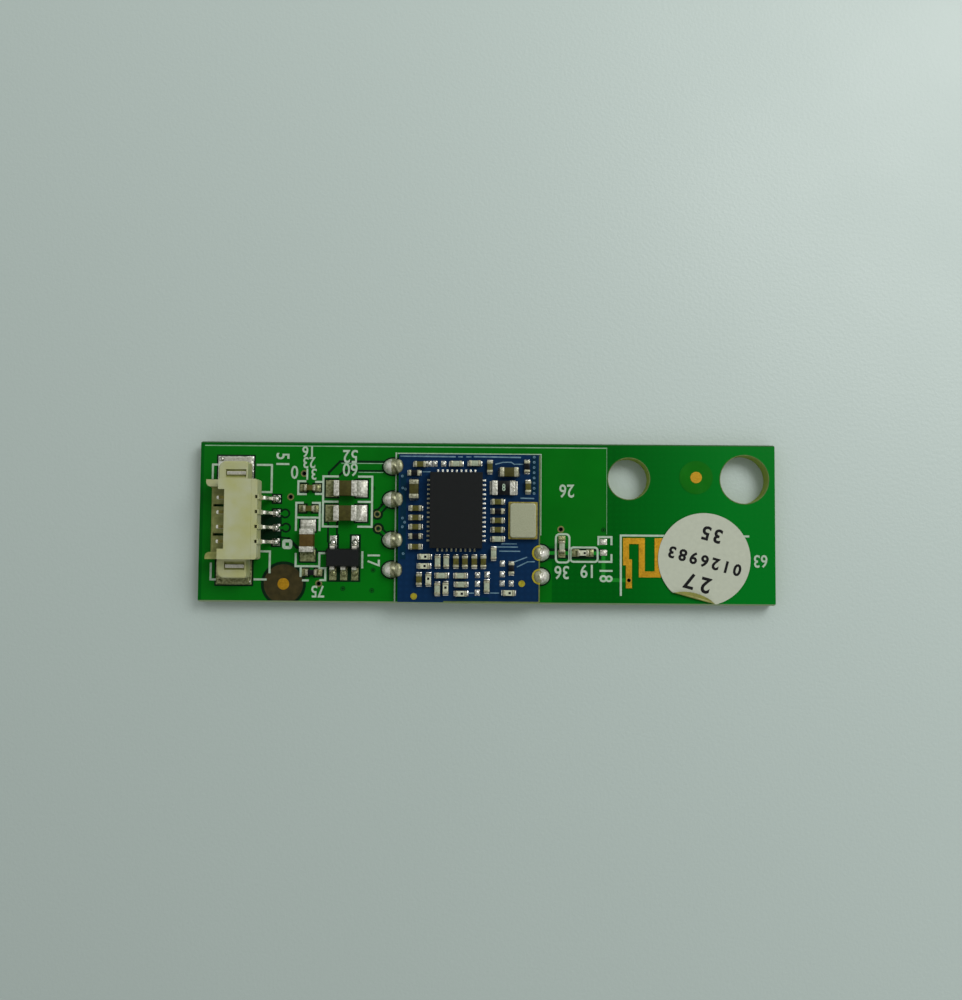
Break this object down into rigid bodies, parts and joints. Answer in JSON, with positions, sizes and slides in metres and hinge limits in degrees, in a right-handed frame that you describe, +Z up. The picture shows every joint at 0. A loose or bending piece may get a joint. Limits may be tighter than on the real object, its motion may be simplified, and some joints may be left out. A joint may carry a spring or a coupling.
{
  "type": "wifi module",
  "caption": "Narrow green circuit board with a soldered-on blue radio module, a side-entry wire header at one end, a printed antenna at the other and two plain mounting holes.",
  "frame": {"origin": "centre of the carrier board's underside", "axes": "+X along the board from the wire header to the antenna, +Y across it towards the two holes, +Z up on the component side"},
  "size_m": [0.05, 0.014, 0.005],
  "materials": {
    "green_mask": "epoxy solder mask, semi-gloss",
    "blue_mask": "epoxy solder mask, semi-gloss",
    "gold_foil": "immersion gold over copper",
    "ivory_nylon": "moulded",
    "tinned_brass": "matt tin plating",
    "solder": "reflowed, bright",
    "black_resin": "moulded epoxy",
    "black_ceramic": "glazed top, tinned ends",
    "brown_ceramic": "fired, tinned ends",
    "grey_ceramic": "fired, tinned ends",
    "cream_ceramic": "fired, tinned ends",
    "gold_rim": "gold-plated seal ring on ceramic",
    "nickel_lid": "nickel-plated",
    "paper": "coated label paper"
  },
  "bodies": {
    "root": {"alignment_marks": "gold_foil", "antenna_trace": "gold_foil", "castellation_joint_1": "solder", "castellation_joint_2": "solder", "castellation_joint_3": "solder", "castellation_joint_4": "solder", "castellation_joint_5": "solder", "castellation_joint_6": "solder", "crystal_base": "gold_rim", "crystal_lid": "nickel_lid", "feed_coil": "grey_ceramic", "header_housing": "ivory_nylon", "header_nail_lower": "tinned_brass", "header_nail_upper": "tinned_brass", "header_pin_1": "tinned_brass", "header_pin_2": "tinned_brass", "header_pin_3": "tinned_brass", "header_pin_4": "tinned_brass", "header_solder": "solder", "main_board": "green_mask", "module_board": "blue_mask", "module_capacitor_01": "brown_ceramic", "module_capacitor_02": "brown_ceramic", "module_capacitor_03": "brown_ceramic", "module_capacitor_04": "brown_ceramic", "module_capacitor_05": "brown_ceramic", "module_capacitor_06": "brown_ceramic", "module_capacitor_07": "brown_ceramic", "module_capacitor_08": "brown_ceramic", "module_capacitor_09": "brown_ceramic", "module_capacitor_10": "brown_ceramic", "module_capacitor_11": "brown_ceramic", "module_capacitor_12": "brown_ceramic", "module_capacitor_13": "brown_ceramic", "module_capacitor_14": "brown_ceramic", "module_capacitor_15": "brown_ceramic", "module_coils": "grey_ceramic", "module_filters": "cream_ceramic", "module_resistor_1": "black_ceramic", "module_resistor_2": "black_ceramic", "module_resistor_3": "black_ceramic", "module_resistor_4": "black_ceramic", "module_resistor_5": "black_ceramic", "output_capacitor": "brown_ceramic", "pad_solder": "solder", "radio_chip": "black_resin", "radio_chip_pads": "solder", "regulator_body": "black_resin", "regulator_leads": "tinned_brass", "reservoir_capacitor_1": "brown_ceramic", "reservoir_capacitor_2": "brown_ceramic", "shunt_coil": "grey_ceramic", "small_capacitor_1": "brown_ceramic", "small_capacitor_2": "brown_ceramic", "small_capacitor_3": "brown_ceramic", "sticker": "paper", "supply_capacitor_1": "brown_ceramic", "supply_capacitor_2": "brown_ceramic", "zero_ohm_link": "black_ceramic"}
  },
  "joints": []
}
